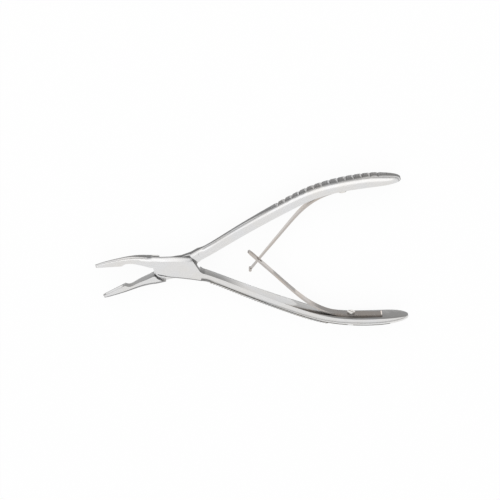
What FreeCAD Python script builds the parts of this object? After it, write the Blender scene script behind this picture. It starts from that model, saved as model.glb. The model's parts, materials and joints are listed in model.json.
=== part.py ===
import FreeCAD, Part
import math
import os
from FreeCAD import Vector

# Bone rongeur, all sizes in millimetres and degrees.
# The tool lies in the XY plane. The origin is on the pivot axis, at the joint's back face, +Z points
# along the pivot to the front face, and +X runs between the two handles, which mirror each other.
# It is modelled sprung open. The front arm is the upper jaw and the lower handle, the rear arm the
# lower jaw and the upper handle.

# Lap joint
joint_thickness = 7.0
lap_gap = 0.06
open_angle = 22.6
shoulder_margin = 1.4
middle = joint_thickness / 2

# Pivot screw: it enters from the back, and its thread ends inside the front arm
pivot_head_diameter = 7.0
pivot_head_height = 1.3
pivot_head_gap = 0.05
pivot_shank_diameter = 4.4
pivot_shank_cover = 0.8
pivot_running_gap = 0.03
pivot_thread_gap = 0.01
pivot_slot_width = 1.0
pivot_slot_depth = 0.7

# Handles: x and y of the inner face, thickness and half width, on the upper handle
handle_stations = [
    (14.0, 3.9, 4.7, middle),
    (19.0, 6.15, 4.85, 3.35),
    (25.0, 9.2, 4.9, 3.3),
    (33.0, 13.4, 5.1, 3.45),
    (48.0, 21.05, 5.3, 4.2),
    (62.0, 27.65, 5.5, 4.7),
    (74.3, 32.65, 5.55, 5.15),
    (88.7, 35.75, 5.6, 5.6),
    (97.3, 36.5, 5.75, 5.75),
    (104.9, 36.9, 5.55, 5.65),
    (111.4, 37.15, 4.7, 5.15),
    (115.4, 37.45, 3.7, 4.0),
    (117.7, 37.75, 2.6, 2.6),
    (118.6, 37.9, 1.6, 1.25),
]
handle_crown_share = 0.42
handle_crown_rise = 0.28
handle_side_bulge = 0.12
handle_root_bulge = 0.08
handle_side_steps = 3
handle_crown_steps = 4

# Flutes across the upper handle's crown, from its end: profile along and above the crown
flute_count = 14
flute_first = 11.6
flute_pitch = 4.165
flute_profile = [(-1.7, 0.1), (-0.95, -0.3), (0.0, -1.15), (0.95, -0.3), (1.7, 0.1)]

# Lap plates: the corners between jaw and handle. The throat and the handle end are those of the
# front arm, and the rear arm has them mirrored. Bevels run along both long edges, front and back.
jaw_edge_bevel = 1.3
outer_edge_bevel = 0.9
plate_throat = [(-11.2, 0.7), (-10.8, -0.7), (-8.9, -3.25)]
plate_handle_end = [(12.6, -2.8), (9.0, 4.4)]
front_plate_outer_edge = [(-3.3, -4.9), (3.5, -6.2), (8.5, -7.3)]
front_plate_jaw_edge = [(-0.9, 5.6), (-7.0, 5.95)]
rear_plate_outer_edge = [(-3.3, 4.5), (3.5, 5.0), (8.5, 6.4)]
rear_plate_jaw_edge = [(-1.0, -6.6), (-7.5, -7.5)]

# Jaws with their rims shut on each other: inner x and y, outer x and y, half width
rim_height = 3.2
rim_gap = 0.05
rim_stock = 0.15
front_jaw_stations = [
    (-11.4, 1.5, -11.4, 6.5, middle),
    (-15.8, 2.1, -15.8, 7.3, 3.3),
    (-20.0, 2.7, -20.0, 7.75, 2.9),
    (-24.0, rim_height - rim_stock, -24.0, 7.65, 2.45),
    (-28.0, rim_height - rim_stock, -28.0, 7.15, 2.05),
    (-34.0, rim_height - rim_stock, -34.0, 6.2, 1.7),
    (-38.5, rim_height - rim_stock, -38.5, 5.25, 1.5),
    (-41.8, rim_height - rim_stock, -41.8, 4.4, 1.4),
]
rear_jaw_stations = [
    (-12.0, 1.35, -13.1, -3.2, middle),
    (-16.0, 2.1, -16.5, -2.35, 3.3),
    (-20.0, 2.75, -20.3, -1.75, 2.9),
    (-24.0, rim_height + rim_stock, -24.1, -1.35, 2.45),
    (-28.3, rim_height + rim_stock, -28.3, -0.85, 2.05),
    (-34.0, rim_height + rim_stock, -34.2, 0.05, 1.7),
    (-38.5, rim_height + rim_stock, -38.7, 0.9, 1.5),
    (-41.8, rim_height + rim_stock, -41.9, 1.75, 1.4),
]
jaw_crown_share = 0.48
jaw_crown_rise = 0.3
jaw_shoulder_bulge = 0.12
jaw_root_sections = 3
jaw_tip_x = -41.3
jaw_tip_radius = 1.4
front_relief = [(-27.4, 3.2), (-25.6, 4.25), (-22.3, 4.45), (-18.0, 3.55), (-14.0, 2.2), (-11.0, 1.28)]
rear_relief = [(-28.0, 3.15), (-26.4, 1.75), (-22.0, 1.6), (-16.0, 1.45), (-11.6, 1.46)]

# Cups: long round-ended hollows inside the rims
cup_tip_radius = 0.95
cup_back_radius = 1.35
cup_front_x = -39.3
cup_back_x = -30.6

# Leaf springs: x, y and half width from the free end. The lower one is slotted, and the upper one
# hooks through it with a cross bar.
leaf_thickness = 1.0
leaf_seat_gap = 0.12
leaf_seat_stations = [7, 8, 9]
leaf_seat_half_width = 2.4
front_leaf_path = [
    (38.25, 5.25, 0.9),
    (38.6, 4.86, 1.5),
    (39.3, 4.1, 1.85),
    (40.3, 3.0, 2.0),
    (49.25, -6.95, 2.0),
    (59.4, -18.5, 2.1),
    (67.5, -26.4, 2.3),
    (76.9, -32.3, 2.4),
]
rear_leaf_path = [
    (38.4, -4.9, 0.9),
    (43.3, 0.45, 0.9),
    (47.0, 4.5, 1.15),
    (52.5, 10.4, 1.45),
    (60.5, 19.1, 1.8),
    (68.8, 27.1, 2.3),
    (76.8, 32.0, 2.4),
]
leaf_slot_width = 2.3
leaf_slot_start = 2.3
leaf_slot_length = 8.0
cross_bar_diameter = 1.5
cross_bar_length = 3.9

# Spring screws
screw_station = 7
screw_head_diameter = 4.1
screw_head_height = 0.9
screw_head_gap = 0.1
screw_shank_diameter = 2.2
screw_clearance = 0.1
screw_thread_gap = 0.01
screw_depth = 3.3
screw_hole_depth = 3.6
screw_slot_width = 0.6
screw_slot_depth = 0.5

# Lengths that only have to reach past the part
past = 20.0
far = 15.0


def flat(point, z=middle):
    return Vector(point[0], point[1], z)


def mirrored(points):
    return [(x, -y) for x, y in points]


def turned(points, degrees):
    angle = math.radians(degrees)
    cos, sin = math.cos(angle), math.sin(angle)
    return [(x * cos - y * sin, x * sin + y * cos) for x, y in points]


def prism(points, low, high):
    """A solid with straight walls on a closed outline."""
    corners = [flat(p, low) for p in points]
    face = Part.Face(Part.makePolygon(corners + corners[:1]))
    return face.extrude(Vector(0, 0, high - low))


def lofted(sections):
    solid = Part.makeLoft(sections, True, False)
    if solid.Volume < 0:
        solid.reverse()
    return solid


def bowed_edge(start, end, bow):
    if bow.Length < 1e-6:
        return Part.LineSegment(start, end).toShape()
    return Part.Arc(start, (start + end) / 2 + bow, end).toShape()


def bowed_points(start, end, bow, steps):
    """The points of a bowed edge as short straight steps, without its start."""
    arc = bowed_edge(start, end, bow)
    first, last = arc.ParameterRange
    return [arc.valueAt(first + (last - first) * step / steps) for step in range(1, steps + 1)]


def d_section(inner, outer, half_width, crown_half, crown_rise, side_bulge):
    """A flat inner face, two bowed sides and a domed crown, square to the tool's plane."""
    across = Vector(0, 0, 1)
    out = (outer - inner).normalize()
    edge = outer - out * crown_rise
    inner_back, inner_front = inner - across * half_width, inner + across * half_width
    crown_front, crown_back = edge + across * crown_half, edge - across * crown_half
    side = crown_front - inner_front
    bow = (across * side.dot(out) - out * side.dot(across)) * side_bulge
    points = [inner_back, inner_front]
    points += bowed_points(inner_front, crown_front, bow, handle_side_steps)
    points += bowed_points(crown_front, crown_back, out * crown_rise, handle_crown_steps)
    points += bowed_points(crown_back, inner_back, Vector(bow.x, bow.y, -bow.z), handle_side_steps)
    return Part.makePolygon(points)


def jaw_section(inner, outer, half_width, crown_half, crown_rise, shoulder_bulge):
    """A flat inner face, upright sides, and shoulders at 45 degrees up to a domed crown."""
    across = Vector(0, 0, 1)
    out = (outer - inner).normalize()
    crown = outer - out * crown_rise
    shoulder = crown - out * (half_width - crown_half)
    bow = (across + out) * ((half_width - crown_half) * shoulder_bulge)
    corners = [
        inner + across * half_width,
        shoulder + across * half_width,
        crown + across * crown_half,
        crown - across * crown_half,
        shoulder - across * half_width,
        inner - across * half_width,
    ]
    bows = [Vector(), bow, out * crown_rise, Vector(bow.x, bow.y, -bow.z), Vector(), Vector()]
    ends = corners[1:] + corners[:1]
    return Part.Wire([bowed_edge(start, end, bow) for start, end, bow in zip(corners, ends, bows)])


def jaw_blank(stations):
    """A jaw that starts with the plate's own bevel and soon becomes round."""
    root_share = 1 - jaw_edge_bevel / middle
    sections = []
    for number, (inner_x, inner_y, outer_x, outer_y, half_width) in enumerate(stations):
        rounding = min(1.0, number / jaw_root_sections)
        crown_half = half_width * (root_share + rounding * (jaw_crown_share - root_share))
        rise = rounding * jaw_crown_rise * crown_half
        bulge = rounding * jaw_shoulder_bulge
        inner, outer = flat((inner_x, inner_y)), flat((outer_x, outer_y))
        sections.append(jaw_section(inner, outer, half_width, crown_half, rise, bulge))
    return lofted(sections)


def rim_cutter(relief, side):
    """All that lies past a jaw's rim and relief, above them (1) or below them (-1)."""
    curve = Part.BSplineCurve()
    curve.interpolate([flat(p, -past) for p in relief])
    start, end = flat(relief[0], -past), flat(relief[-1], -past)
    lift = Vector(0, side * far, 0)
    tip = Vector(-past * 3, start.y, -past)
    outline = Part.Wire([
        Part.LineSegment(tip, start).toShape(),
        curve.toShape(),
        Part.LineSegment(end, end + lift).toShape(),
        Part.LineSegment(end + lift, tip + lift).toShape(),
        Part.LineSegment(tip + lift, tip).toShape(),
    ])
    return Part.Face(outline).extrude(Vector(0, 0, 2 * past))


def tip_plan():
    """The round end of a jaw, seen from its rim, with room for the wider jaw behind it."""
    centre = Vector(jaw_tip_x + jaw_tip_radius, -past, middle)
    up = Vector(0, 0, jaw_tip_radius)
    back = Vector(past * 2, 0, 0)
    wide = up * 4
    outline = Part.Wire([
        Part.Arc(centre + up, centre - Vector(jaw_tip_radius, 0, 0), centre - up).toShape(),
        Part.LineSegment(centre - up, centre - up + back - wide).toShape(),
        Part.LineSegment(centre - up + back - wide, centre + up + back + wide).toShape(),
        Part.LineSegment(centre + up + back + wide, centre + up).toShape(),
    ])
    return Part.Face(outline).extrude(Vector(0, 2 * past, 0))


def cup():
    """The hollow that the two jaws share, on the line where their rims meet."""
    front = Vector(cup_front_x, rim_height - rim_gap / 2, middle)
    back = Vector(cup_back_x, rim_height - rim_gap / 2, middle)
    trough = Part.makeCone(cup_tip_radius, cup_back_radius, (back - front).Length, front, back - front)
    ends = [Part.makeSphere(cup_tip_radius, front), Part.makeSphere(cup_back_radius, back)]
    return trough.fuse(ends)


def jaw(stations, relief, side):
    """A jaw with its rim up (1) or down (-1), where it lies when the jaws are shut."""
    body = jaw_blank(stations).common(tip_plan())
    return body.cut(rim_cutter(relief, side)).cut(cup())


def handle_frame(number, side):
    """A station's point on the inner face, and the direction from there to the crown."""
    curve = Part.BSplineCurve()
    curve.interpolate([flat((x, side * y)) for x, y, thickness, half_width in handle_stations])
    point = flat((handle_stations[number][0], side * handle_stations[number][1]))
    along = curve.tangent(curve.parameter(point))[0]
    return point, Vector(0, 0, side).cross(along).normalize()


def handle(side):
    """A handle from the joint to its end, above the X axis (1) or below it (-1)."""
    sections = []
    for number, (x, y, thickness, half_width) in enumerate(handle_stations):
        inner, out = handle_frame(number, side)
        outer = inner + out * thickness
        crown_half = half_width * handle_crown_share if number else half_width - outer_edge_bevel
        rise = crown_half * handle_crown_rise if number else 0
        bulge = handle_side_bulge if number else handle_root_bulge
        sections.append(d_section(inner, outer, half_width, crown_half, rise, bulge))
    return lofted(sections)


def flutes():
    """What the grooves across the upper handle's crown take away, as one long bar each."""
    crown = []
    for number in range(len(handle_stations) - 1, 0, -1):
        inner, out = handle_frame(number, 1)
        crown.append(inner + out * handle_stations[number][2])
    curve = Part.BSplineCurve()
    curve.interpolate(crown)
    bars = []
    for number in range(flute_count):
        place = curve.parameterAtDistance(flute_first + number * flute_pitch)
        centre, along = curve.value(place), curve.tangent(place)[0]
        out = along.cross(Vector(0, 0, 1)).normalize()
        corners = [centre + along * step + out * height for step, height in flute_profile]
        corners += [corners[-1] + out * past, corners[0] + out * past]
        bar = Part.Face(Part.makePolygon(corners + corners[:1])).extrude(Vector(0, 0, 2 * past))
        bar.translate(Vector(0, 0, -past))
        bars.append(bar)
    return bars


def handle_root(side):
    """The handle's first inner and outer corner in the tool's plane."""
    inner, out = handle_frame(0, side)
    outer = inner + out * handle_stations[0][2]
    return [(inner.x, inner.y), (outer.x, outer.y)]


def longer(start, end):
    """The point that lies past the end of a line, outside the part."""
    step = (flat(end) - flat(start)).normalize() * far
    return end[0] + step.x, end[1] + step.y


def lap_space(throat, handle_end, side):
    """What a plate needs in the other arm, as an outline, from its two shoulders when shut."""
    turn = side * (open_angle + shoulder_margin)
    left, right = turned(throat, turn), turned(handle_end, turn)
    return (
        [(left[0][0], side * far)]
        + left
        + [longer(left[-2], left[-1]), (past, -side * far)]
        + right
        + [longer(right[-2], right[-1])]
    )


def front_jaw_root():
    inner_x, inner_y, outer_x, outer_y, half_width = front_jaw_stations[0]
    return [(inner_x, inner_y), (outer_x, outer_y)]


def rear_jaw_root():
    inner_x, inner_y, outer_x, outer_y, half_width = rear_jaw_stations[0]
    return turned([(inner_x, inner_y), (outer_x, outer_y)], open_angle)


def bevelled(body, path, size):
    """Bevels a plate's front and back edges along a path of its outline."""
    edges = []
    for start, end in zip(path, path[1:]):
        for z in (0, joint_thickness):
            centre = (flat(start, z) + flat(end, z)) / 2
            edges += [edge for edge in body.Edges if (edge.CenterOfMass - centre).Length < 1e-6]
    return body.makeChamfer(size, edges)


def plate(jaw_root, throat, outer_edge, root, handle_end, jaw_edge):
    """The arm's middle at full thickness, round its outline from the jaw's inner corner."""
    outline = [jaw_root[0]] + throat + outer_edge + [root[1], root[0]] + handle_end + jaw_edge
    body = prism(outline + [jaw_root[1]], 0, joint_thickness)
    body = bevelled(body, handle_end[-1:] + jaw_edge + [jaw_root[1]], jaw_edge_bevel)
    return bevelled(body, throat[-1:] + outer_edge + [root[1]], outer_edge_bevel)


def front_lap_edges():
    """The front plate's edges that meet the rear arm's shoulders, from the jaw and from the handle."""
    throat = [front_relief[-2], front_jaw_root()[0]] + plate_throat
    stations = [(x, -y) for x, y, thickness, half_width in handle_stations[1::-1]]
    return throat, stations + plate_handle_end


def rear_lap_edges():
    throat = turned([rear_relief[-2]], open_angle) + rear_jaw_root()[:1] + mirrored(plate_throat)
    stations = [(x, y) for x, y, thickness, half_width in handle_stations[1::-1]]
    return throat, stations + mirrored(plate_handle_end)


def cylinder(radius, start, direction, length):
    return Part.makeCylinder(radius, length, start, direction)


def cylinder_up(radius, height):
    """A hole's cylinder on the pivot axis, from below the back face up to a height."""
    return cylinder(radius, Vector(0, 0, -past), Vector(0, 0, 1), past + height)


def screw_seat(side):
    """Where a spring screw enters the handle, and the direction into it."""
    return handle_frame(screw_station, side)


def front_arm():
    throat, handle_end = plate_throat, plate_handle_end
    body = plate(
        front_jaw_root(), throat, front_plate_outer_edge, handle_root(-1), handle_end, front_plate_jaw_edge
    )
    body = body.fuse([jaw(front_jaw_stations, front_relief, -1), handle(-1)])
    space = lap_space(*rear_lap_edges(), -1)
    body = body.cut(prism(space, -1, middle + lap_gap / 2))
    thread = cylinder_up(pivot_shank_diameter / 2 + pivot_thread_gap, joint_thickness - pivot_shank_cover)
    return body.cut([thread, screw_hole(-1)]).removeSplitter()


def rear_arm():
    throat, handle_end = mirrored(plate_throat), mirrored(plate_handle_end)
    shut_jaw = jaw(rear_jaw_stations, rear_relief, 1)
    shut_jaw.rotate(Vector(), Vector(0, 0, 1), open_angle)
    body = plate(
        rear_jaw_root(), throat, rear_plate_outer_edge, handle_root(1), handle_end, rear_plate_jaw_edge
    )
    body = body.fuse([shut_jaw, handle(1)])
    space = lap_space(*front_lap_edges(), 1)
    body = body.cut(prism(space, middle - lap_gap / 2, joint_thickness + 1))
    bore = cylinder_up(pivot_shank_diameter / 2 + pivot_running_gap, past)
    recess = cylinder_up(pivot_head_diameter / 2 + pivot_head_gap, pivot_head_height + 2 * pivot_head_gap)
    return body.cut([bore, recess, screw_hole(1)] + flutes()).removeSplitter()


def screw_hole(side):
    point, into = screw_seat(side)
    start = point - into
    return cylinder(screw_shank_diameter / 2 + screw_thread_gap, start, into, screw_hole_depth + 1)


def screw_slot(width, depth, length, top, down, along):
    """A driver slot across a screw head, cut down from the middle of its top."""
    sideways = down.cross(along)
    start = top - along * (length / 2) - sideways * (width / 2) - down
    end = start + along * length
    corners = [start, end, end + sideways * width, start + sideways * width]
    return Part.Face(Part.makePolygon(corners + corners[:1])).extrude(down * (depth + 1))


def pivot_screw():
    up = Vector(0, 0, 1)
    top = Vector(0, 0, pivot_head_gap)
    head = cylinder(pivot_head_diameter / 2, top, up, pivot_head_height)
    shank_end = joint_thickness - pivot_shank_cover - pivot_head_gap
    shank = cylinder(pivot_shank_diameter / 2, top, up, shank_end - top.z)
    slot = screw_slot(pivot_slot_width, pivot_slot_depth, past, top, up, Vector(1, 1, 0).normalize())
    return head.fuse(shank).cut(slot).removeSplitter()


def spring_screw(side):
    point, into = screw_seat(side)
    seat = point - into * (leaf_seat_gap + leaf_thickness + screw_head_gap)
    top = seat - into * screw_head_height
    head = cylinder(screw_head_diameter / 2, top, into, screw_head_height)
    shank_length = (seat - point).Length + screw_depth
    shank = cylinder(screw_shank_diameter / 2, seat, into, shank_length)
    along = (Vector(0, 0, 1).cross(into) + Vector(0, 0, 1)).normalize()
    slot = screw_slot(screw_slot_width, screw_slot_depth, past, top, into, along)
    return head.fuse(shank).cut(slot).removeSplitter()


def leaf(path, side):
    """A spring leaf from its free end to its seat on the handle, which it follows there."""
    points = [flat((x, y)) for x, y, half_width in path]
    halves = [half_width for x, y, half_width in path]
    for number in leaf_seat_stations:
        point, out = handle_frame(number, side)
        points.append(point - out * (leaf_seat_gap + leaf_thickness / 2))
        halves.append(leaf_seat_half_width)
    curve = Part.BSplineCurve()
    curve.interpolate(points)
    sections = []
    for point, half in zip(points, halves):
        along = curve.tangent(curve.parameter(point))[0]
        rise = Vector(0, 0, 1).cross(along).normalize() * (leaf_thickness / 2)
        wide = Vector(0, 0, half)
        corners = [point - rise - wide, point - rise + wide, point + rise + wide, point + rise - wide]
        sections.append(Part.makePolygon(corners + corners[:1]))
    seat, into = screw_seat(side)
    hole = cylinder(screw_shank_diameter / 2 + screw_clearance, seat - into * 5, into, 10)
    return lofted(sections).cut(hole)


def front_leaf_spring():
    tip, second = flat(front_leaf_path[0]), flat(front_leaf_path[1])
    along = (second - tip).normalize()
    through = Vector(0, 0, 1).cross(along)
    radius = leaf_slot_width / 2
    start = tip + along * leaf_slot_start - through * 5
    end = start + along * (leaf_slot_length - leaf_slot_width)
    wide = Vector(0, 0, radius)
    outline = Part.Wire([
        Part.LineSegment(start + wide, end + wide).toShape(),
        Part.Arc(end + wide, end + along * radius, end - wide).toShape(),
        Part.LineSegment(end - wide, start - wide).toShape(),
        Part.Arc(start - wide, start - along * radius, start + wide).toShape(),
    ])
    slot = Part.Face(outline).extrude(through * 10)
    return leaf(front_leaf_path, -1).cut(slot)


def rear_leaf_spring():
    bar_end = flat(rear_leaf_path[0], middle - cross_bar_length / 2)
    bar = cylinder(cross_bar_diameter / 2, bar_end, Vector(0, 0, 1), cross_bar_length)
    return leaf(rear_leaf_path, 1).fuse(bar).removeSplitter()


parts = {
    "front_arm": front_arm(),
    "rear_arm": rear_arm(),
    "pivot_screw": pivot_screw(),
    "front_leaf_spring": front_leaf_spring(),
    "rear_leaf_spring": rear_leaf_spring(),
    "front_spring_screw": spring_screw(-1),
    "rear_spring_screw": spring_screw(1),
}
os.makedirs("parts", exist_ok=True)
for name, shape in parts.items():
    shape.exportStep("parts/" + name + ".step")
    print(name, shape.isValid(), len(shape.Solids), round(shape.Volume, 2))
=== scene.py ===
import json
import math

import bmesh
import bpy
from mathutils import Matrix, Vector


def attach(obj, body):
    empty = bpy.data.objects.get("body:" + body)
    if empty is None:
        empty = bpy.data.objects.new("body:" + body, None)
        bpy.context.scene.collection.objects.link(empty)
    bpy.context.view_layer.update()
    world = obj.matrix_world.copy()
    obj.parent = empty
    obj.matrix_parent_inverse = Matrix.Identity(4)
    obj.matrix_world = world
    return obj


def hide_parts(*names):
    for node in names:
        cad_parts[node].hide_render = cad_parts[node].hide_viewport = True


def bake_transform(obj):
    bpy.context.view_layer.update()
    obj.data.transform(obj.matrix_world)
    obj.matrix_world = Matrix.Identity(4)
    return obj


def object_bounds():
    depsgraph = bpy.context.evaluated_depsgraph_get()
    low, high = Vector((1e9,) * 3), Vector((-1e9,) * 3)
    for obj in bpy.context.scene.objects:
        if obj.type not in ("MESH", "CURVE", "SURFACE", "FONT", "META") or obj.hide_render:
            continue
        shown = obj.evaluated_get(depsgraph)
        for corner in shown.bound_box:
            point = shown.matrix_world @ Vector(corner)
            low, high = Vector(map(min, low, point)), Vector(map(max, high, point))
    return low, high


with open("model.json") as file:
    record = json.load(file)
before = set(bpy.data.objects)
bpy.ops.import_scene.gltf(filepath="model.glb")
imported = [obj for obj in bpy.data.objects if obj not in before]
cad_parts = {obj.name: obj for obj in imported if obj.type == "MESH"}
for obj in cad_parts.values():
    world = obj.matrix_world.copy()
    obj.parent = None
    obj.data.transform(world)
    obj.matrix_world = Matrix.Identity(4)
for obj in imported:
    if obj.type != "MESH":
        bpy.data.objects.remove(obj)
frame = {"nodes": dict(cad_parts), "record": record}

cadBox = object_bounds()
middleHeight = 0.0035        # half the joint's thickness, where both handles' middle lines lie
mergeDistance = 1e-6
smoothAngle = 32.0           # edges under this many degrees are shaded smooth
print("frame loaded:", len(frame["nodes"]), "pieces")


def makeObject(name, data):
    made = bpy.data.objects.new(name, data)
    bpy.context.scene.collection.objects.link(made)
    return made


# Small helpers for node trees: a number stays a number, and anything else is linked
def feed(tree, socket, value):
    if isinstance(value, bpy.types.NodeSocket):
        tree.links.new(value, socket)
    else:
        socket.default_value = value


def addMath(tree, operation, first, second=None, isVector=False):
    node = tree.nodes.new("ShaderNodeVectorMath" if isVector else "ShaderNodeMath")
    node.operation = operation
    feed(tree, node.inputs[0], first)
    if second is not None:
        feed(tree, node.inputs["Scale" if operation == "SCALE" else 1], second)
    return node.outputs[0]


def addStep(tree, value, low, high, atLow=0.0, atHigh=1.0):
    node = tree.nodes.new("ShaderNodeMapRange")
    node.interpolation_type = "SMOOTHSTEP"
    feed(tree, node.inputs["Value"], value)
    for name, number in (("From Min", low), ("From Max", high), ("To Min", atLow), ("To Max", atHigh)):
        feed(tree, node.inputs[name], number)
    return node.outputs["Result"]


def addProduct(tree, first, *others):
    for other in others:
        first = addMath(tree, "MULTIPLY", first, other)
    return first


def addBlend(tree, first, second, share):
    change = addMath(tree, "SUBTRACT", second, first)
    return addMath(tree, "ADD", first, addMath(tree, "MULTIPLY", share, change))


def addParts(tree, vector):
    node = tree.nodes.new("ShaderNodeSeparateXYZ")
    tree.links.new(vector, node.inputs[0])
    return node.outputs["X"], node.outputs["Y"], node.outputs["Z"]


def newGroup(name, kind, inputs, outputs):
    tree = bpy.data.node_groups.new(name, kind)
    for socketName, socketType, value in inputs:
        socket = tree.interface.new_socket(
            socketName, in_out="INPUT", socket_type="NodeSocket" + socketType)
        if value is not None:
            socket.default_value = value
    for socketName, socketType in outputs:
        tree.interface.new_socket(socketName, in_out="OUTPUT", socket_type="NodeSocket" + socketType)
    start, end = tree.nodes.new("NodeGroupInput"), tree.nodes.new("NodeGroupOutput")
    given = {row[0]: start.outputs[row[0]] for row in inputs}
    result = {row[0]: end.inputs[row[0]] for row in outputs}
    return tree, given, result


def inputNames(tree):
    return {item.name: item.identifier for item in tree.interface.items_tree if item.in_out == "INPUT"}


# Camera: it looks down on the flat of the tool, a little from the upper handle's side
photoCamera = {
    "target": (0.03923, 0.00573, 0.0035),
    "towards": (0.0344, 0.3892, 0.9205),
    "upward": (0.0810, 0.9170, -0.3907),
    "distance": 0.8,
    "lens": 111.75,
    "sensor": 36.0,
    "nearest": 0.01,
}

# Studio: a pale dome that darkens towards the horizon, a soft box by direction, size and brightness,
# and a floor that is seen nearly white, also in the steel
studio = {
    "domeBrightness": 0.95,
    "horizonBrightness": 0.35,
    "horizonRise": 0.45,
    "floorSize": 4.0,
    "floorColor": (0.98, 0.98, 0.98, 1.0),
    "floorRoughness": 0.9,
    "floorSpecular": 0.1,
    "floorWhite": 0.93,
    "box": {
        "name": "upperBox",
        "towards": (0.0, 0.84, 0.54),
        "distance": 1.0,
        "size": (1.5, 0.5),
        "brightness": 0.36,
    },
}


def makeCamera(values):
    data = bpy.data.cameras.new("photoCamera")
    data.lens = values["lens"]
    data.sensor_width = values["sensor"]
    data.clip_start = values["nearest"]
    camera = makeObject("photoCamera", data)
    back = Vector(values["towards"]).normalized()
    side = Vector(values["upward"]).cross(back).normalized()
    up = back.cross(side)
    turn = Matrix((side, up, back)).transposed().to_4x4()
    place = Vector(values["target"]) + back * values["distance"]
    camera.matrix_world = Matrix.Translation(place) @ turn
    bpy.context.scene.camera = camera


def makeSoftBox(values):
    data = bpy.data.lights.new(values["name"], "AREA")
    data.shape = "RECTANGLE"
    data.size, data.size_y = values["size"]
    data.energy = values["brightness"] * math.pi * data.size * data.size_y
    box = makeObject(values["name"], data)
    back = Vector(values["towards"]).normalized()
    box.location = back * values["distance"]
    box.rotation_mode = "QUATERNION"
    box.rotation_quaternion = back.to_track_quat("Z", "Y")


def makeWorld(values):
    world = bpy.data.worlds.new("softWorld")
    world.use_nodes = True
    tree = world.node_tree
    height = addParts(tree, tree.nodes.new("ShaderNodeTexCoord").outputs["Generated"])[2]
    brightness = addStep(
        tree, height, 0.0, values["horizonRise"], values["horizonBrightness"], values["domeBrightness"])
    dome = tree.nodes["Background"]
    dome.inputs["Color"].default_value = (1.0, 1.0, 1.0, 1.0)
    tree.links.new(brightness, dome.inputs["Strength"])
    bpy.context.scene.world = world


def makeFloor(values, height):
    half = values["floorSize"] / 2
    corners = [(-half, -half, height), (half, -half, height), (half, half, height), (-half, half, height)]
    mesh = bpy.data.meshes.new("floor")
    mesh.from_pydata(corners, [], [(0, 1, 2, 3)])
    floor = makeObject("floor", mesh)
    material = bpy.data.materials.new("paleFloor")
    material.use_nodes = True
    tree = material.node_tree
    shader = tree.nodes["Principled BSDF"]
    shader.inputs["Base Color"].default_value = values["floorColor"]
    shader.inputs["Roughness"].default_value = values["floorRoughness"]
    shader.inputs["Specular IOR Level"].default_value = values["floorSpecular"]
    ray = tree.nodes.new("ShaderNodeLightPath")
    seen = 0.0
    for name in ("Is Camera Ray", "Is Glossy Ray", "Is Transmission Ray"):
        seen = addMath(tree, "ADD", ray.outputs[name], seen)
    share = addMath(tree, "MULTIPLY", addMath(tree, "MINIMUM", seen, 1.0), values["floorWhite"])
    white = tree.nodes.new("ShaderNodeEmission")
    mixed = tree.nodes.new("ShaderNodeMixShader")
    tree.links.new(share, mixed.inputs[0])
    tree.links.new(shader.outputs[0], mixed.inputs[1])
    tree.links.new(white.outputs[0], mixed.inputs[2])
    tree.links.new(mixed.outputs[0], tree.nodes["Material Output"].inputs["Surface"])
    mesh.materials.append(material)


makeCamera(photoCamera)
makeWorld(studio)
makeSoftBox(studio["box"])
makeFloor(studio, cadBox[0].z)
bpy.context.scene.view_settings.view_transform = "Standard"
print("studio made")


# Fine lines that grinding leaves along the tool, and broad patches of slightly duller polish
def makeGrainGroup():
    tree, given, result = newGroup("brushedGrain", "ShaderNodeTree", [
        ("Fineness", "Float", 6000.0),
        ("Stretch", "Float", 25.0),
        ("Patch Size", "Float", 0.02),
    ], [("Grain", "Float"), ("Patch", "Float")])
    place = tree.nodes.new("ShaderNodeTexCoord").outputs["Object"]
    x, y, z = addParts(tree, place)
    squeezed = tree.nodes.new("ShaderNodeCombineXYZ")
    tree.links.new(addMath(tree, "DIVIDE", x, given["Stretch"]), squeezed.inputs["X"])
    tree.links.new(y, squeezed.inputs["Y"])
    tree.links.new(z, squeezed.inputs["Z"])
    fineness = given["Fineness"]
    perPatch = addMath(tree, "DIVIDE", 1.0, given["Patch Size"])
    for vector, scale, detail, name in (
            (squeezed.outputs[0], fineness, 3.0, "Grain"), (place, perPatch, 2.0, "Patch")):
        noise = tree.nodes.new("ShaderNodeTexNoise")
        noise.inputs["Detail"].default_value = detail
        tree.links.new(vector, noise.inputs["Vector"])
        tree.links.new(scale, noise.inputs["Scale"])
        tree.links.new(noise.outputs[0], result[name])
    return tree


# Where the arms' faces change along the tool, in metres from the pivot: each soft step's start and end
armPlaces = {
    "plateFromJaw": (-0.0125, -0.0105),
    "plateFromHandle": (0.020, 0.014),
    "handleStart": (0.0145, 0.016),
    "crownAtRoot": (0.0, 0.016),
    "crownAtMiddle": (0.036, 0.052),
    "crownAtEnd": (0.094, 0.104),
    "rearRoot": (-0.003, 0.001),
    "lowerCrownEnd": (0.078, 0.090),
    "flutesStart": (0.046, 0.048),
    "flutesEnd": (0.1045, 0.1030),
    "jawShoulder": (-0.030, -0.012),
    "jawToHandle": (-0.004, 0.012),
    "lowerEdgeEnd": (0.020, 0.016),
    "slantedEdge": (0.006, 0.009),
    "jawInner": (-0.0095, -0.0105),
    "innerBrightens": (0.021, 0.037),
    "innerShades": (0.0605, 0.0620),
    "innerEnd": (0.072, 0.080),
    "leafSeat": (0.068, 0.075),
    "leafEnd": (0.1052, 0.1050),
    "underLeaf": (0.086, 0.091),
}
crownLimits = {"plate": 0.3, "root": 0.43, "middle": 0.57, "end": 0.5}       # a crown is less flat than this
handleBearing = {"From Min": 0.048, "From Max": 0.097, "To Min": 0.454, "To Max": 0.07}      # radians, by x


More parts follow.
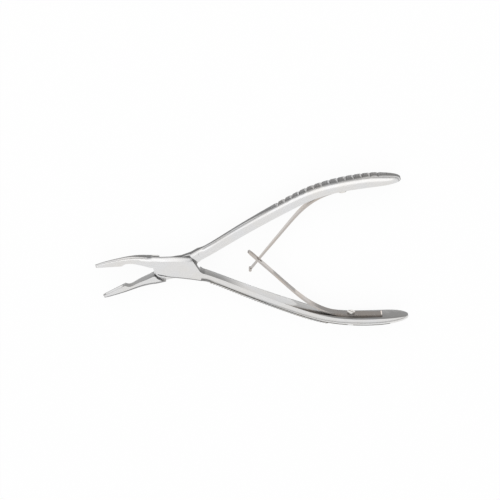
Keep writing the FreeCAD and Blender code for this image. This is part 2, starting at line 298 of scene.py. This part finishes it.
# Painted light and shade on each face of an arm: crowns, lower edges, the joint's parting line and the inner
# faces are made darker or lighter where reflections and shadows fall
def makePaintedLightGroup():
    tree, given, result = newGroup("armPaintedLightAndShade", "ShaderNodeTree", [
        ("Upper Crown", "Float", 0.3),
        ("Lower Crown", "Float", 0.85),
        ("Lower Crown End", "Float", 0.5),
        ("Jaw Crown", "Float", 0.5),
        ("Shoulder Crown", "Float", 0.25),
        ("Lower Edge", "Float", 0.5),
        ("Slanted Edge", "Float", 0.3),
        ("Parting Line", "Float", 0.2),
        ("Plate Wall", "Float", 0.85),
        ("Step Wall", "Float", 0.5),
        ("Jaw Inner", "Float", 0.4),
        ("Root Inner", "Float", 0.35),
        ("Middle Inner", "Float", 0.85),
        ("Shaded Inner", "Float", 0.55),
        ("End Inner", "Float", 0.3),
        ("Seat Inner", "Float", 0.5),
        ("Spring Shadow", "Float", 0.1),
        ("Flute Bright", "Float", 0.8),
        ("Flute Dark", "Float", 0.2),
    ], [("Tone", "Float"), ("Roughened", "Float")])
    texture = tree.nodes.new("ShaderNodeTexCoord")
    x, y, z = addParts(tree, texture.outputs["Object"])
    normalX, normalY, normalZ = addParts(tree, texture.outputs["Normal"])

    def step(value, start, end):
        return addStep(tree, value, start, end)

    def stepAt(place, *levels):
        return addStep(tree, x, *armPlaces[place], *levels)

    def both(*masks):
        return addProduct(tree, *masks)

    def blend(first, second, share):
        return addBlend(tree, first, second, share)

    flatness = addMath(tree, "ABSOLUTE", normalZ)                # 1 on the flat, 0 on a wall
    outward = both(addMath(tree, "SIGN", y), normalY)            # 1 away from the other handle
    fromMiddle = addMath(tree, "ABSOLUTE", addMath(tree, "SUBTRACT", z, middleHeight))
    upper = step(y, -0.001, 0.001)
    wall = step(flatness, 0.5, 0.3)
    plate = both(stepAt("plateFromJaw"), stepAt("plateFromHandle"))

    # Painted shade and light on crowns, the faces turned out across the tool: the jaws' and the upper handle's
    # are darkened like a dark reflection, the lower handle's lightened, darker at its end
    limit = stepAt("crownAtRoot", crownLimits["plate"], crownLimits["root"])
    limit = blend(limit, crownLimits["middle"], stepAt("crownAtMiddle"))
    limit = blend(limit, crownLimits["end"], stepAt("crownAtEnd"))
    crown = both(step(addMath(tree, "SUBTRACT", flatness, limit), 0.07, -0.05), step(outward, 0.05, 0.25))
    rearRoot = both(step(z, 0.0034, 0.0031), stepAt("rearRoot"))
    offPlate = addMath(tree, "MAXIMUM", addMath(tree, "SUBTRACT", 1.0, plate), rearRoot)

    # Painted light and shade on the flutes: sides facing the handle's end are lightened and sides facing the
    # joint darkened, as light would fall on them
    bearing = tree.nodes.new("ShaderNodeMapRange")
    for name, number in handleBearing.items():
        bearing.inputs[name].default_value = number
    tree.links.new(x, bearing.inputs["Value"])
    forward = both(normalX, addMath(tree, "COSINE", bearing.outputs[0]))
    sideways = both(normalY, addMath(tree, "SINE", bearing.outputs[0]))
    along = addMath(tree, "ADD", forward, sideways)              # how far a flute's side faces the handle's end
    fluted = both(stepAt("flutesStart"), stepAt("flutesEnd"))
    upperCrown = blend(given["Upper Crown"], given["Flute Bright"], both(fluted, step(along, 0.3, 0.4)))
    upperCrown = blend(upperCrown, given["Flute Dark"], both(fluted, step(along, -0.3, -0.4)))
    lowerCrown = stepAt("lowerCrownEnd", given["Lower Crown"], given["Lower Crown End"])
    handleCrown = blend(lowerCrown, upperCrown, upper)
    jawCrown = stepAt("jawShoulder", given["Jaw Crown"], given["Shoulder Crown"])
    tone = blend(1.0, blend(jawCrown, handleCrown, stepAt("jawToHandle")), both(crown, offPlate))

    # Painted shade: edge bevels facing down the tool near the jaws are darkened
    lowerEdge = both(step(normalY, -0.25, -0.45), stepAt("lowerEdgeEnd"), step(flatness, 0.1, 0.25))
    tone = blend(tone, given["Lower Edge"], lowerEdge)
    # Painted shade: the plate's outer walls, a line along the joint's parting, the step wall under the plate and
    # the plate's slanted edge are darkened where shade falls in the joint
    plateWall = both(wall, plate, step(outward, 0.0, 0.3))
    tone = blend(tone, both(tone, given["Plate Wall"]), plateWall)
    tone = blend(tone, given["Parting Line"], both(step(fromMiddle, 0.0010, 0.0005), plateWall, upper))
    stepWall = both(wall, plate, step(outward, -0.1, -0.3), step(y, 0.0, -0.002))
    tone = blend(tone, given["Step Wall"], stepWall)
    slanted = both(step(normalX, 0.25, 0.5), wall, plate, stepAt("slantedEdge"))
    tone = blend(tone, given["Slanted Edge"], slanted)

    # Painted shade and reflection on the inner faces: darker at the jaws and the handle's root, lighter in the
    # middle, darker again from where the leaf spring is reflected, and a painted shadow of the leaf at its seat
    inner = step(outward, -0.6, -0.75)
    tone = blend(tone, given["Jaw Inner"], both(inner, stepAt("jawInner")))
    innerTone = stepAt("innerBrightens", given["Root Inner"], given["Middle Inner"])
    slantedX = addMath(tree, "ADD", x, addMath(tree, "MULTIPLY", fromMiddle, 0.7))
    innerTone = blend(innerTone, given["Shaded Inner"], step(slantedX, *armPlaces["innerShades"]))
    innerTone = blend(innerTone, given["End Inner"], stepAt("innerEnd"))
    leafShadowMask = both(step(fromMiddle, 0.0041, 0.0027), stepAt("leafSeat"), stepAt("leafEnd"))
    leafShadowTone = blend(given["Seat Inner"], given["Spring Shadow"], stepAt("underLeaf"))
    handleInner = both(inner, stepAt("handleStart"))
    tone = blend(tone, blend(innerTone, leafShadowTone, leafShadowMask), handleInner)
    tree.links.new(tone, result["Tone"])
    tree.links.new(crown, result["Roughened"])
    return tree


leafPlaces = {
    "tip": (0.0425, 0.0405),
    "stretchStart": (0.0495, 0.0510),
    "stretchEnd": (0.0612, 0.0602),
    "seat": (0.066, 0.073),
    "end": (0.1044, 0.1046),
}


# Painted light and shade on the leaves: their broad faces darkened as a painted reflection in the bend and as
# painted shade at the seat and the tip, and a painted highlight on the end's inward faces
def makeLeafGroup():
    tree, given, result = newGroup("leafShadeAndHighlight", "ShaderNodeTree", [
        ("Broad Tone", "Float", 1.1),
        ("Stretch Tone", "Float", 0.6),
        ("Seat Tone", "Float", 0.5),
        ("Tip Tone", "Float", 0.7),
        ("End Tone", "Float", 1.8),
    ], [("Tone", "Float")])
    texture = tree.nodes.new("ShaderNodeTexCoord")
    x, y, z = addParts(tree, texture.outputs["Object"])
    normalX, normalY, normalZ = addParts(tree, texture.outputs["Normal"])

    def stepAt(place):
        return addStep(tree, x, *leafPlaces[place])

    broad = addStep(tree, addMath(tree, "ABSOLUTE", normalZ), 0.7, 0.5)
    lower = addStep(tree, y, 0.001, -0.001)
    facing = addMath(tree, "MULTIPLY", addMath(tree, "SIGN", y), normalY)
    stretch = addProduct(tree, stepAt("stretchStart"), stepAt("stretchEnd"), lower)
    seat = addMath(tree, "MULTIPLY", stepAt("seat"), addStep(tree, facing, 0.1, -0.1))
    end = addMath(tree, "MULTIPLY", stepAt("end"), addStep(tree, facing, 0.2, -0.2))
    tone = addStep(tree, stretch, 0.0, 1.0, given["Broad Tone"], given["Stretch Tone"])
    tone = addBlend(tree, tone, given["Seat Tone"], seat)
    tone = addBlend(tree, tone, given["Tip Tone"], stepAt("tip"))
    tone = addStep(tree, broad, 0.0, 1.0, 1.0, tone)
    tone = addBlend(tree, tone, given["End Tone"], end)
    tree.links.new(tone, result["Tone"])
    return tree


grainGroup = makeGrainGroup()
paintedLightGroup = makePaintedLightGroup()
leafGroup = makeLeafGroup()

# Finishes: each is one steel, a little warmer and duller in patches. Two numbers are a range.
steels = {
    "arms": {
        "name": "armSteel",
        "coolColor": (0.76, 0.76, 0.765, 1.0),
        "warmColor": (0.77, 0.755, 0.735, 1.0),
        "grain": {"Fineness": 5000.0, "Stretch": 25.0, "Patch Size": 0.012},
        "grainTone": (0.96, 1.03),
        "roughness": (0.17, 0.23),
        "edgeRoughness": 0.2,
        "bumpStrength": 0.25,
        # Levels of the arms' painted shade and painted highlights on crowns, edges, walls and inner faces, and
        # of the leaf's painted shadow on the handle
        "faces": {
            "Upper Crown": 0.31, "Lower Crown": 1.15, "Lower Crown End": 0.5,
            "Jaw Crown": 0.42, "Shoulder Crown": 0.25, "Lower Edge": 0.35, "Slanted Edge": 0.22,
            "Parting Line": 0.12, "Plate Wall": 0.85, "Step Wall": 0.8, "Jaw Inner": 0.36,
            "Root Inner": 0.36, "Middle Inner": 0.86, "Shaded Inner": 0.55, "End Inner": 0.31,
            "Seat Inner": 0.5, "Spring Shadow": 0.2, "Flute Bright": 0.75, "Flute Dark": 0.16,
        },
    },
    "springs": {
        "name": "springSteel",
        "coolColor": (0.52, 0.49, 0.47, 1.0),
        "warmColor": (0.56, 0.50, 0.45, 1.0),
        "grain": {"Fineness": 7000.0, "Stretch": 10.0, "Patch Size": 0.008},
        "grainTone": (0.93, 1.05),
        "roughness": (0.22, 0.3),
        "bumpStrength": 0.2,
        # The leaves' levels of painted shade and painted reflection, and End Tone a painted highlight on their
        # ends
        "leafShadeAndHighlight": {
            "Broad Tone": 1.05, "Stretch Tone": 0.55, "Seat Tone": 0.42, "Tip Tone": 0.7, "End Tone": 1.8,
        },
    },
    "screws": {
        "name": "screwSteel",
        "coolColor": (0.80, 0.79, 0.78, 1.0),
        "warmColor": (0.82, 0.79, 0.75, 1.0),
        "grain": {"Fineness": 9000.0, "Stretch": 1.0, "Patch Size": 0.004},
        "grainTone": (0.9, 1.05),
        "roughness": (0.14, 0.22),
        "bumpStrength": 0.15,
    },
    "grips": {
        "name": "gripSteel",
        "coolColor": (0.36, 0.36, 0.365, 1.0),
        "warmColor": (0.38, 0.36, 0.35, 1.0),
        "grain": {"Fineness": 3000.0, "Stretch": 1.0, "Patch Size": 0.006},
        "grainTone": (0.8, 1.15),
        "roughness": (0.35, 0.5),
        "bumpStrength": 0.3,
    },
    "teeth": {
        "name": "toothSteel",
        "coolColor": (0.52, 0.52, 0.52, 1.0),
        "warmColor": (0.56, 0.54, 0.51, 1.0),
        "grain": {"Fineness": 3000.0, "Stretch": 1.0, "Patch Size": 0.006},
        "grainTone": (0.85, 1.1),
        "roughness": (0.22, 0.35),
        "bumpStrength": 0.2,
    },
    # A near-black steel for the dark tubes that paint a shade line where the lower handle's teeth end
    "lines": {
        "name": "lineSteel",
        "coolColor": (0.10, 0.10, 0.095, 1.0),
        "warmColor": (0.12, 0.11, 0.09, 1.0),
        "grain": {"Fineness": 3000.0, "Stretch": 1.0, "Patch Size": 0.006},
        "grainTone": (0.8, 1.15),
        "roughness": (0.4, 0.5),
        "bumpStrength": 0.1,
    },
}
grainDepth = 0.00002
noiseRange = (0.3, 0.7)          # where most of the noise lies
patchRange = (0.35, 0.65)


def addGroup(tree, group, values):
    node = tree.nodes.new("ShaderNodeGroup")
    node.node_tree = group
    for name, value in values.items():
        node.inputs[name].default_value = value
    return node.outputs


def makeSteel(values):
    material = bpy.data.materials.new(values["name"])
    material.use_nodes = True
    tree = material.node_tree
    shader = tree.nodes["Principled BSDF"]
    shader.inputs["Metallic"].default_value = 1.0
    grain = addGroup(tree, grainGroup, values["grain"])
    tone = addStep(tree, grain["Grain"], *noiseRange, *values["grainTone"])
    roughness = addStep(tree, grain["Patch"], *patchRange, *values["roughness"])
    # The arms' and leaves' painted light and shade scale their colour here
    if "faces" in values:
        faces = addGroup(tree, paintedLightGroup, values["faces"])
        tone = addMath(tree, "MULTIPLY", tone, faces["Tone"])
        rougher = addMath(tree, "MULTIPLY", faces["Roughened"], values["edgeRoughness"])
        roughness = addMath(tree, "ADD", roughness, rougher)
    if "leafShadeAndHighlight" in values:
        faces = addGroup(tree, leafGroup, values["leafShadeAndHighlight"])
        tone = addMath(tree, "MULTIPLY", tone, faces["Tone"])
    tint = tree.nodes.new("ShaderNodeMix")
    tint.data_type = "RGBA"
    tint.inputs["A"].default_value = values["coolColor"]
    tint.inputs["B"].default_value = values["warmColor"]
    tree.links.new(addStep(tree, grain["Patch"], *noiseRange), tint.inputs["Factor"])
    color = addMath(tree, "SCALE", tint.outputs["Result"], tone, isVector=True)
    tree.links.new(color, shader.inputs["Base Color"])
    tree.links.new(roughness, shader.inputs["Roughness"])
    bump = tree.nodes.new("ShaderNodeBump")
    bump.inputs["Strength"].default_value = values["bumpStrength"]
    bump.inputs["Distance"].default_value = grainDepth
    tree.links.new(grain["Grain"], bump.inputs["Height"])
    tree.links.new(bump.outputs["Normal"], shader.inputs["Normal"])
    return material


finishes = {name: makeSteel(values) for name, values in steels.items()}
print("finishes made")


# Smooth shading over the curved faces, and sharp edges between faces that meet at more than an angle
def makeSmoothTree():
    tree, given, result = newGroup("smoothSurface", "GeometryNodeTree", [
        ("Geometry", "Geometry", None),
        ("Merge Distance", "Float", mergeDistance),
        ("Angle", "Float", math.radians(smoothAngle)),
    ], [("Geometry", "Geometry")])
    nodes, links = tree.nodes, tree.links
    merge = nodes.new("GeometryNodeMergeByDistance")
    faces = nodes.new("GeometryNodeSetShadeSmooth")
    faces.domain = "FACE"
    edges = nodes.new("GeometryNodeSetShadeSmooth")
    edges.domain = "EDGE"
    edgeAngle = nodes.new("GeometryNodeInputMeshEdgeAngle")
    gentle = nodes.new("FunctionNodeCompare")
    gentle.operation = "LESS_THAN"
    links.new(given["Geometry"], merge.inputs["Geometry"])
    links.new(given["Merge Distance"], merge.inputs["Distance"])
    links.new(merge.outputs["Geometry"], faces.inputs["Geometry"])
    links.new(faces.outputs["Geometry"], edges.inputs["Geometry"])
    links.new(edgeAngle.outputs["Unsigned Angle"], gentle.inputs["A"])
    links.new(given["Angle"], gentle.inputs["B"])
    links.new(gentle.outputs["Result"], edges.inputs["Shade Smooth"])
    links.new(edges.outputs["Geometry"], result["Geometry"])
    return tree


# Arms: their sharp edges are slightly rounded, as polishing leaves them
armEdges = {"nodes": ["front_arm", "rear_arm"], "width": 0.0004, "segments": 2, "overAngle": 45.0}
finishOf = {"arm_steel": "arms", "spring_steel": "springs", "screw_steel": "screws"}


def finishPiece(row, smoothTree):
    piece = frame["nodes"][row["node"]]
    piece.data.materials.clear()
    piece.data.materials.append(finishes[finishOf[row["material_slot"]]])
    if row["node"] in armEdges["nodes"]:
        weld = piece.modifiers.new("weld", "WELD")
        weld.merge_threshold = mergeDistance
        bevel = piece.modifiers.new("softEdges", "BEVEL")
        bevel.width = armEdges["width"]
        bevel.segments = armEdges["segments"]
        bevel.limit_method = "ANGLE"
        bevel.angle_limit = math.radians(armEdges["overAngle"])
        bevel.use_clamp_overlap = True
    smooth = piece.modifiers.new("smoothSurface", "NODES")
    smooth.node_group = smoothTree
    smooth[inputNames(smoothTree)["Angle"]] = math.radians(smoothAngle)


smoothTree = makeSmoothTree()
for row in frame["record"]["subparts"]:
    finishPiece(row, smoothTree)
print("arms and screws finished")

# Spring leaves: smooth copies of the CAD leaves, cut across at even steps up to the seat. Between the arms both
# lie half way where they cross.
springLeaves = {
    "pieces": [
        {"name": "lowerLeaf", "node": "front_leaf_spring", "own": "front_arm", "other": "rear_arm"},
        {"name": "upperLeaf", "node": "rear_leaf_spring", "own": "rear_arm", "other": "front_arm"},
    ],
    "seatX": 0.080,
    "crossingX": 0.0428,
    "cutFromX": 0.0385,
    "cutStep": 0.001,
}


def makeLeaf(values, shared):
    mesh = frame["nodes"][values["node"]].data.copy()
    mesh.name = values["name"]
    form = bmesh.new()
    form.from_mesh(mesh)
    bmesh.ops.remove_doubles(form, verts=form.verts, dist=mergeDistance)
    cuts = int((shared["seatX"] - shared["cutFromX"]) / shared["cutStep"])
    for number in range(cuts):
        x = shared["cutFromX"] + number * shared["cutStep"]
        everything = form.verts[:] + form.edges[:] + form.faces[:]
        bmesh.ops.bisect_plane(form, geom=everything, plane_co=(x, 0, 0), plane_no=(1, 0, 0))
    for face in form.faces:
        face.smooth = True
    for edge in form.edges:
        edge.smooth = edge.calc_face_angle(math.pi) < math.radians(smoothAngle)
    form.to_mesh(mesh)
    form.free()
    leaf = makeObject(values["name"], mesh)
    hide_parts(values["node"])
    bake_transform(leaf)


for leafValues in springLeaves["pieces"]:
    makeLeaf(leafValues, springLeaves)
print("springs made")

# The handles' middle line, which the grips follow: (x, y) for the upper handle
gripRail = [
    (0.0140, 0.0060), (0.0190, 0.0084), (0.0250, 0.0114), (0.0330, 0.0156), (0.0480, 0.0234), (0.0620, 0.0302),
    (0.0743, 0.0353), (0.0887, 0.0385), (0.0973, 0.0394), (0.1049, 0.0397), (0.1114, 0.0396),
]

# Grips: ridges on the arms' own surface, found by rays out of the handle's middle line. Each goes round
# the handle by Sweep, or along it by Length, and the angles are in radians from straight outward.
grips = [
    {   # short slanted teeth round the lower handle
        "name": "lowerTeeth", "arm": "front_arm", "finish": "teeth",
        "Side": -1.0, "Count": 42, "First": 0.006, "Pitch": 0.00155, "Slant": -0.0012,
        "Start Angle": -1.0, "Sweep": 2.0, "Steps": 21, "Radius": 0.0003, "Sink": -0.0001,
    },
    # A painted shade line: a dark tube along where the teeth end, standing in for the shadow there
    {   # the line that ends the teeth, front and back
        "name": "lowerGripLines", "arm": "front_arm", "finish": "lines",
        "Side": -1.0, "Count": 2, "First": 0.004, "Pitch": 0.0, "Length": 0.098, "Spread": 0.14,
        "Start Angle": -1.02, "Angle Step": 2.04, "Sweep": 0.0, "Steps": 160, "Radius": 0.00022, "Sink": 0.0,
    },
    {   # fine hatching across the upper handle's crown, through its flutes
        "name": "upperHatching", "arm": "rear_arm", "finish": "grips",
        "Side": 1.0, "Count": 76, "First": 0.0445, "Pitch": 0.00085,
        "Start Angle": -0.62, "Sweep": 1.24, "Steps": 17, "Radius": 0.00016, "Sink": 0.00006,
    },
]


def makeRidgeTree():
    tree, given, result = newGroup("surfaceRidges", "GeometryNodeTree", [
        ("Rail", "Geometry", None),
        ("Surface", "Object", None),
        ("Reach", "Float", 0.02),
        ("Side", "Float", 1.0),
        ("Count", "Int", 10),
        ("First", "Float", 0.0),
        ("Pitch", "Float", 0.001),
        ("Length", "Float", 0.0),
        ("Slant", "Float", 0.0),
        ("Start Angle", "Float", 0.0),
        ("Angle Step", "Float", 0.0),
        ("Sweep", "Float", 1.0),
        ("Spread", "Float", 0.0),
        ("Steps", "Int", 16),
        ("Corners", "Int", 6),
        ("Radius", "Float", 0.0002),
        ("Sink", "Float", 0.00005),
        ("Material", "Material", None),
    ], [("Ridges", "Geometry")])
    nodes, links = tree.nodes, tree.links

    def minus(first, second):
        return addMath(tree, "SUBTRACT", first, second)

    def times(first, second):
        return addMath(tree, "MULTIPLY", first, second)

    def total(first, *others):
        for other in others:
            first = addMath(tree, "ADD", first, other)
        return first

    def scaled(vector, factor):
        return addMath(tree, "SCALE", vector, factor, isVector=True)

    # one copy of a line for each ridge: x is the ridge's number, and y the share along it
    line = nodes.new("GeometryNodeCurvePrimitiveLine")
    line.inputs["End"].default_value = (0.0, 1.0, 0.0)
    resample = nodes.new("GeometryNodeResampleCurve")
    links.new(line.outputs[0], resample.inputs["Curve"])
    links.new(given["Steps"], resample.inputs["Count"])
    rows = nodes.new("GeometryNodeMeshLine")
    rows.inputs["Offset"].default_value = (1.0, 0.0, 0.0)
    links.new(given["Count"], rows.inputs["Count"])
    copies = nodes.new("GeometryNodeInstanceOnPoints")
    links.new(rows.outputs[0], copies.inputs["Points"])
    links.new(resample.outputs[0], copies.inputs["Instance"])
    realize = nodes.new("GeometryNodeRealizeInstances")
    links.new(copies.outputs[0], realize.inputs[0])
    number, share = addParts(tree, nodes.new("GeometryNodeInputPosition").outputs[0])[:2]

    # its place: a distance along the rail, and an angle round it
    fromMiddle = addMath(tree, "ABSOLUTE", minus(times(share, 2.0), 1.0))
    distance = total(given["First"], times(number, given["Pitch"]), times(share, given["Length"]),
                     times(minus(1.0, fromMiddle), given["Slant"]))
    apart = times(minus(times(number, 2.0), 1.0), given["Spread"])
    angle = total(given["Start Angle"], times(number, given["Angle Step"]), times(share, given["Sweep"]),
                  times(share, apart))
    rail = nodes.new("GeometryNodeMeshToCurve")
    links.new(given["Rail"], rail.inputs[0])
    sample = nodes.new("GeometryNodeSampleCurve")
    sample.mode = "LENGTH"
    links.new(rail.outputs[0], sample.inputs["Curves"])
    links.new(distance, sample.inputs["Length"])

    # a ray from there out to the arm's surface
    out = nodes.new("ShaderNodeVectorMath")
    out.operation = "CROSS_PRODUCT"
    out.inputs[0].default_value = (0.0, 0.0, 1.0)
    links.new(sample.outputs["Tangent"], out.inputs[1])
    outward = scaled(scaled(out.outputs[0], given["Side"]), addMath(tree, "COSINE", angle))
    across = scaled((0.0, 0.0, 1.0), addMath(tree, "SINE", angle))
    direction = addMath(tree, "ADD", outward, across, isVector=True)
    surface = nodes.new("GeometryNodeObjectInfo")
    links.new(given["Surface"], surface.inputs["Object"])
    ray = nodes.new("GeometryNodeRaycast")
    links.new(surface.outputs["Geometry"], ray.inputs["Target Geometry"])
    links.new(sample.outputs["Position"], ray.inputs["Source Position"])
    links.new(direction, ray.inputs["Ray Direction"])
    links.new(given["Reach"], ray.inputs["Ray Length"])
    inward = scaled(direction, times(given["Sink"], -1.0))
    place = nodes.new("GeometryNodeSetPosition")
    links.new(realize.outputs[0], place.inputs["Geometry"])
    links.new(addMath(tree, "ADD", ray.outputs["Hit Position"], inward, isVector=True), place.inputs["Position"])

    # a closed tube along each line
    profile = nodes.new("GeometryNodeCurvePrimitiveCircle")
    links.new(given["Corners"], profile.inputs["Resolution"])
    links.new(given["Radius"], profile.inputs["Radius"])
    tube = nodes.new("GeometryNodeCurveToMesh")
    tube.inputs["Fill Caps"].default_value = True
    links.new(place.outputs[0], tube.inputs["Curve"])
    links.new(profile.outputs[0], tube.inputs["Profile Curve"])
    smooth = nodes.new("GeometryNodeSetShadeSmooth")
    links.new(tube.outputs[0], smooth.inputs["Geometry"])
    last = nodes.new("GeometryNodeRealizeInstances")
    links.new(smooth.outputs[0], last.inputs[0])
    paint = nodes.new("GeometryNodeSetMaterial")
    links.new(last.outputs[0], paint.inputs["Geometry"])
    links.new(given["Material"], paint.inputs["Material"])
    links.new(paint.outputs[0], result["Ridges"])
    return tree


def makeRidges(values, tree):
    points = [(x, values["Side"] * y, middleHeight) for x, y in gripRail]
    railMesh = bpy.data.meshes.new(values["name"] + "Rail")
    railMesh.from_pydata(points, [(number, number + 1) for number in range(len(points) - 1)], [])
    rail = makeObject(values["name"] + "Rail", railMesh)
    modifier = rail.modifiers.new("ridges", "NODES")
    modifier.node_group = tree
    identifiers = inputNames(tree)
    for name, identifier in identifiers.items():
        if name in values:
            modifier[identifier] = values[name]
    modifier[identifiers["Surface"]] = frame["nodes"][values["arm"]]
    modifier[identifiers["Material"]] = finishes[values["finish"]]
    evaluated = rail.evaluated_get(bpy.context.evaluated_depsgraph_get())
    mesh = bpy.data.meshes.new_from_object(evaluated)
    mesh.name = values["name"]
    bpy.data.objects.remove(rail)
    ridges = makeObject(values["name"], mesh)
    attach(ridges, values["arm"])
    print(values["name"], "made:", len(mesh.polygons), "faces")


ridgeTree = makeRidgeTree()
for gripValues in grips:
    makeRidges(gripValues, ridgeTree)
